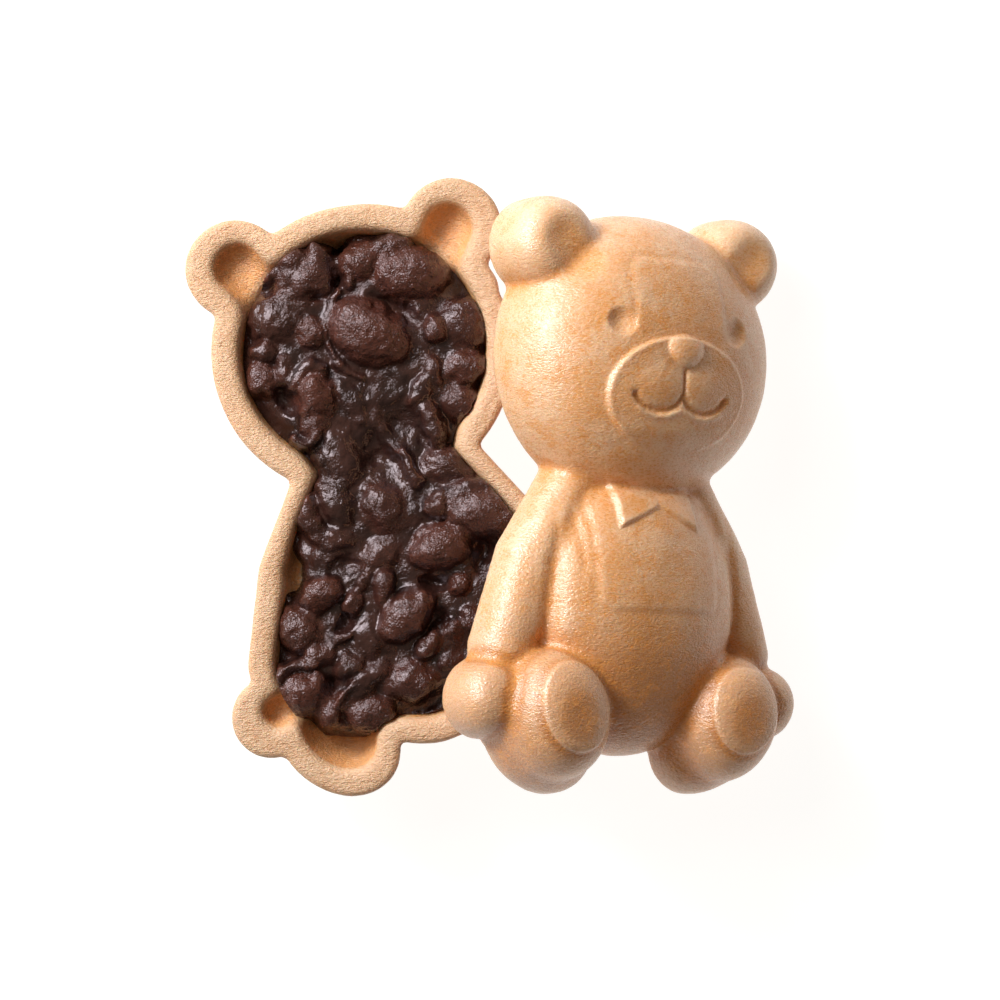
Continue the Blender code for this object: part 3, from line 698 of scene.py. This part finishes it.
class Paint:
    """Short way to wire one material's nodes."""

    def __init__(self, name):
        self.material = bpy.data.materials.new(name)
        self.material.use_nodes = True
        self.tree = self.material.node_tree
        self.shader = self.tree.nodes["Principled BSDF"]
        self.place = self.tree.nodes.new("ShaderNodeTexCoord").outputs["Object"]

    def wire(self, value, socket):
        if isinstance(value, bpy.types.NodeSocket):
            self.tree.links.new(value, socket)
        else:
            socket.default_value = value

    def grain(self, size, detail=2.0, rough=0.5, stretch=(1.0, 1.0, 1.0)):
        """Noise whose marks are about size millimetres across."""
        mapping = self.tree.nodes.new("ShaderNodeMapping")
        mapping.inputs["Scale"].default_value = stretch
        self.tree.links.new(self.place, mapping.inputs["Vector"])
        texture = self.tree.nodes.new("ShaderNodeTexNoise")
        self.tree.links.new(mapping.outputs["Vector"], texture.inputs["Vector"])
        texture.inputs["Scale"].default_value = 1.0 / (size * MM)
        texture.inputs["Detail"].default_value = detail
        texture.inputs["Roughness"].default_value = rough
        return texture.outputs["Fac"]

    def value(self, label):
        attribute = self.tree.nodes.new("ShaderNodeAttribute")
        attribute.attribute_name = label
        return attribute.outputs["Fac"]

    def span(self, value, low, high, out_low=0.0, out_high=1.0):
        node = self.tree.nodes.new("ShaderNodeMapRange")
        node.interpolation_type = "SMOOTHSTEP"
        for socket, number in zip(node.inputs[:5], (value, low, high, out_low, out_high)):
            self.wire(number, socket)
        return node.outputs["Result"]

    def maths(self, kind, a, b=0.0):
        node = self.tree.nodes.new("ShaderNodeMath")
        node.operation = kind
        self.wire(a, node.inputs[0])
        self.wire(b, node.inputs[1])
        return node.outputs["Value"]

    def mix(self, share, a, b):
        node = self.tree.nodes.new("ShaderNodeMix")
        node.data_type = "RGBA"
        colors = [socket for socket in node.inputs if socket.type == "RGBA"]
        self.wire(share, node.inputs["Factor"])
        self.wire(a, colors[0])
        self.wire(b, colors[1])
        return [socket for socket in node.outputs if socket.type == "RGBA"][0]

    def bump(self, height, distance, strength=1.0, under=None):
        node = self.tree.nodes.new("ShaderNodeBump")
        node.inputs["Strength"].default_value = strength
        node.inputs["Distance"].default_value = distance * MM
        self.wire(height, node.inputs["Height"])
        if under:
            self.tree.links.new(under, node.inputs["Normal"])
        return node.outputs["Normal"]


def shade(red, green, blue):
    return (red, green, blue, 1.0)


def wafer_material(name, tan, pale, brown, painted_hollow_glow, gloss, speck, grit):
    """Baked rice wafer: sandy grain, golden veins and flecks, paler walls, painted highlight on crests and
    painted shade in creases, a painted orange glow in the hollows, and darker browner towards the feet,
    partly deeper browning and partly painted shade.
    """
    paint = Paint(name)
    cloud = paint.grain(6.0, 3.0)
    patch = paint.grain(2.2, 4.0, 0.6)
    vein = paint.maths("ABSOLUTE", paint.maths("SUBTRACT", paint.grain(1.3, 4.0, 0.62, (0.7, 1.2, 1.0)), 0.5))
    fleck = paint.grain(0.5, 3.0, 0.6, (0.6, 1.2, 1.0))
    sand = paint.grain(0.2, 2.0, 0.6, (0.55, 1.2, 1.0))
    color = paint.mix(paint.span(cloud, 0.38, 0.62, 0.0, 0.45), tan, pale)
    color = paint.mix(paint.span(paint.value("wall"), 0.0, 1.0, 0.0, 0.25), color, pale)
    # Darker and browner towards the feet: partly deeper browning, partly painted shade of the lower body.
    color = paint.mix(paint.maths("MULTIPLY", paint.value("feet_browning_and_shade"), 0.95), color, shade(0.52, 0.21, 0.065))
    # Painted glow: the hollows and ear pits take a bright orange that stands in for light shining through the
    # thin wafer and bouncing inside.
    color = paint.mix(paint.value("painted_hollow_glow"), color, painted_hollow_glow)
    veins = paint.maths("MULTIPLY", paint.span(vein, 0.0, 0.04, 0.9, 0.0), paint.span(patch, 0.44, 0.58))
    color = paint.mix(veins, color, brown)
    color = paint.mix(paint.span(patch, 0.50, 0.66, 0.0, 0.5), color, brown)
    color = paint.mix(paint.span(fleck, 0.50, 0.66, 0.0, 0.38), color, brown)
    specks_fewer_in_feet_shade = paint.span(paint.value("feet_browning_and_shade"), 0.0, 1.0, speck, 0.3 * speck)
    color = paint.mix(paint.maths("MULTIPLY", paint.span(sand, 0.48, 0.64), specks_fewer_in_feet_shade), color, pale)
    color = paint.mix(paint.span(sand, 0.46, 0.34, 0.0, speck), color, brown)
    # Painted highlight and shade from the relief: paler on crests, browner in creases.
    crest = paint.value("crest")
    color = paint.mix(paint.span(crest, 0.02, 0.14, 0.0, 0.4), color, pale)
    color = paint.mix(paint.span(crest, -0.03, -0.2, 0.0, 0.4), color, brown)
    paint.wire(color, paint.shader.inputs["Base Color"])
    paint.wire(paint.span(sand, 0.3, 0.7, gloss - 0.06, gloss + 0.10), paint.shader.inputs["Roughness"])
    peel = paint.maths("MULTIPLY", paint.grain(0.34, 1.0), paint.value("peel"))
    rough = paint.bump(sand, 0.10 * grit, 0.9)
    rough = paint.bump(peel, 0.07, 0.9, rough)
    rough = paint.bump(fleck, 0.10 * grit, 0.7, rough)
    paint.wire(rough, paint.shader.inputs["Normal"])
    paint.shader.inputs["Specular IOR Level"].default_value = 1.0
    paint.shader.inputs["Subsurface Weight"].default_value = 0.2
    paint.shader.inputs["Subsurface Scale"].default_value = 1.4 * MM
    paint.shader.inputs["Subsurface Radius"].default_value = (1.0, 0.45, 0.2)
    return paint.material


def paste_material():
    """Sweet bean paste: dark wet purple-brown, with redder wrinkled bean skins and a painted red-brown
    highlight on raised tops.
    """
    paint = Paint("bean_paste_sweet")
    bean = paint.value("bean")
    cloud = paint.grain(3.0, 3.0)
    skin = paint.grain(0.45, 3.0, 0.65)
    dark = shade(0.015, 0.006, 0.005)
    color = paint.mix(paint.span(cloud, 0.35, 0.65), dark, shade(0.041, 0.0155, 0.0115))
    color = paint.mix(paint.maths("MULTIPLY", bean, 0.75), color, shade(0.086, 0.025, 0.0155))
    color = paint.mix(paint.span(skin, 0.4, 0.7, 0.0, 0.5), color, shade(0.016, 0.006, 0.0045))
    # Painted highlight: raised tops lighter and redder, standing in for light glowing through the thin paste.
    crest = paint.span(paint.value("crest"), 0.06, 0.4, 0.0, 0.6)
    color = paint.mix(crest, color, shade(0.115, 0.032, 0.018))
    paint.wire(color, paint.shader.inputs["Base Color"])
    paint.wire(paint.span(skin, 0.3, 0.7, 0.10, 0.20), paint.shader.inputs["Roughness"])
    crinkle = paint.maths("ABSOLUTE", paint.maths("SUBTRACT", paint.grain(0.7, 3.0, 0.6), 0.5))
    crinkle = paint.maths("MULTIPLY", crinkle, paint.span(paint.grain(2.4, 1.0), 0.42, 0.6, 0.15, 1.0))
    wrinkles = paint.bump(crinkle, 0.36, 1.0)
    grainy = paint.maths("MULTIPLY", paint.grain(0.21, 1.0), paint.span(bean, 0.0, 0.9, 0.3, 1.0))
    wrinkles = paint.bump(grainy, 0.11, 1.0, wrinkles)
    wrinkles = paint.bump(paint.grain(1.0, 2.0), 0.2, 0.6, wrinkles)
    paint.wire(wrinkles, paint.shader.inputs["Normal"])
    paint.shader.inputs["Specular IOR Level"].default_value = 1.0
    paint.shader.inputs["Specular Tint"].default_value = shade(1.0, 0.86, 0.90)
    return paint.material


# ---------------------------------------------------------------- the pieces

coarser = 1.0
# Wafer colours: tan, pale, brown, and the painted orange glow of the hollows.
face_skin = wafer_material("front_wafer_baked", shade(0.77, 0.375, 0.15), shade(0.88, 0.62, 0.41),
                           shade(0.74, 0.29, 0.06), shade(0.90, 0.44, 0.16), 0.29, 0.34, 1.0)
back_skin = wafer_material("back_wafer_baked", shade(0.68, 0.367, 0.182), shade(0.755, 0.50, 0.305),
                           shade(0.57, 0.25, 0.085), shade(0.95, 0.42, 0.13), 0.52, 0.6, 2.2)
wafer_piece("front_wafer", faced_place(), front_outer, FRONT_HOLLOW, FRONT_VOXEL * coarser, 1, face_skin,
            face_zone)
wafer_piece("back_wafer", FILLED_PLACE @ Matrix.Rotation(math.pi, 4, "Y"), back_outer, BACK_HOLLOW,
            BACK_VOXEL * coarser, 5, back_skin)
paste_piece(paste_material(), PASTE_VOXEL * coarser)

# ---------------------------------------------------------------- floor, light and camera

KEY_FROM = (-0.585, 0.50, 0.638)
KEY_DISTANCE = 0.314
KEY_COLOR = (0.955, 0.975, 1.0)
GLOW_FROM = (-0.5, 0.6, 0.62)
CAMERA_PLACE = (0.86, -1.265, 315.0)
CAMERA_LENS = 97.2

def floor():
    bm = bmesh.new()
    bmesh.ops.create_grid(bm, x_segments=1, y_segments=1, size=2.0)
    mesh = bpy.data.meshes.new("floor")
    bm.to_mesh(mesh)
    bm.free()
    sheet = bpy.data.objects.new("floor", mesh)
    paint = Paint("floor_pale")
    paint.shader.inputs["Base Color"].default_value = shade(0.22, 0.22, 0.217)
    paint.shader.inputs["Roughness"].default_value = 0.9
    paint.shader.inputs["Emission Color"].default_value = shade(1.0, 0.99, 0.97)
    paint.shader.inputs["Emission Strength"].default_value = 0.94
    mesh.materials.append(paint.material)
    bpy.context.scene.collection.objects.link(sheet)


def area_light(name, towards, distance, size, watts, color):
    light = bpy.data.lights.new(name, "AREA")
    light.shape = "DISK"
    light.size = size
    light.energy = watts
    light.color = color
    lamp = bpy.data.objects.new(name, light)
    direction = Vector(towards).normalized()
    lamp.location = direction * distance
    lamp.rotation_euler = direction.to_track_quat("Z", "Y").to_euler()
    bpy.context.scene.collection.objects.link(lamp)


def studio_world():
    """Warm surround, brighter on the lamp's side."""
    world = bpy.data.worlds.new("studio")
    world.use_nodes = True
    sky = world.node_tree
    facing = sky.nodes.new("ShaderNodeVectorMath")
    facing.operation = "DOT_PRODUCT"
    sky.links.new(sky.nodes.new("ShaderNodeTexCoord").outputs["Generated"], facing.inputs[0])
    facing.inputs[1].default_value = Vector(GLOW_FROM).normalized()
    glow = sky.nodes.new("ShaderNodeMapRange")
    sky.links.new(facing.outputs["Value"], glow.inputs["Value"])
    for socket, number in zip(glow.inputs[1:5], (-0.5, 1.0, 0.075, 0.27)):
        socket.default_value = number
    sky.nodes["Background"].inputs["Color"].default_value = shade(1.0, 0.79, 0.59)
    sky.links.new(glow.outputs["Result"], sky.nodes["Background"].inputs["Strength"])
    bpy.context.scene.world = world


def overhead_camera():
    """Looks straight down, as the photograph does."""
    data = bpy.data.cameras.new("camera")
    data.lens = CAMERA_LENS
    data.sensor_width = 36.0
    data.clip_start = 0.01
    camera = bpy.data.objects.new("camera", data)
    camera.location = [distance * MM for distance in CAMERA_PLACE]
    bpy.context.scene.collection.objects.link(camera)
    bpy.context.scene.camera = camera


floor()
area_light("key_soft", KEY_FROM, KEY_DISTANCE, 0.275, 0.78, KEY_COLOR)
area_light("key_crisp", KEY_FROM, KEY_DISTANCE, 0.09, 0.84, KEY_COLOR)
studio_world()
overhead_camera()
bpy.context.scene.view_settings.view_transform = "Standard"
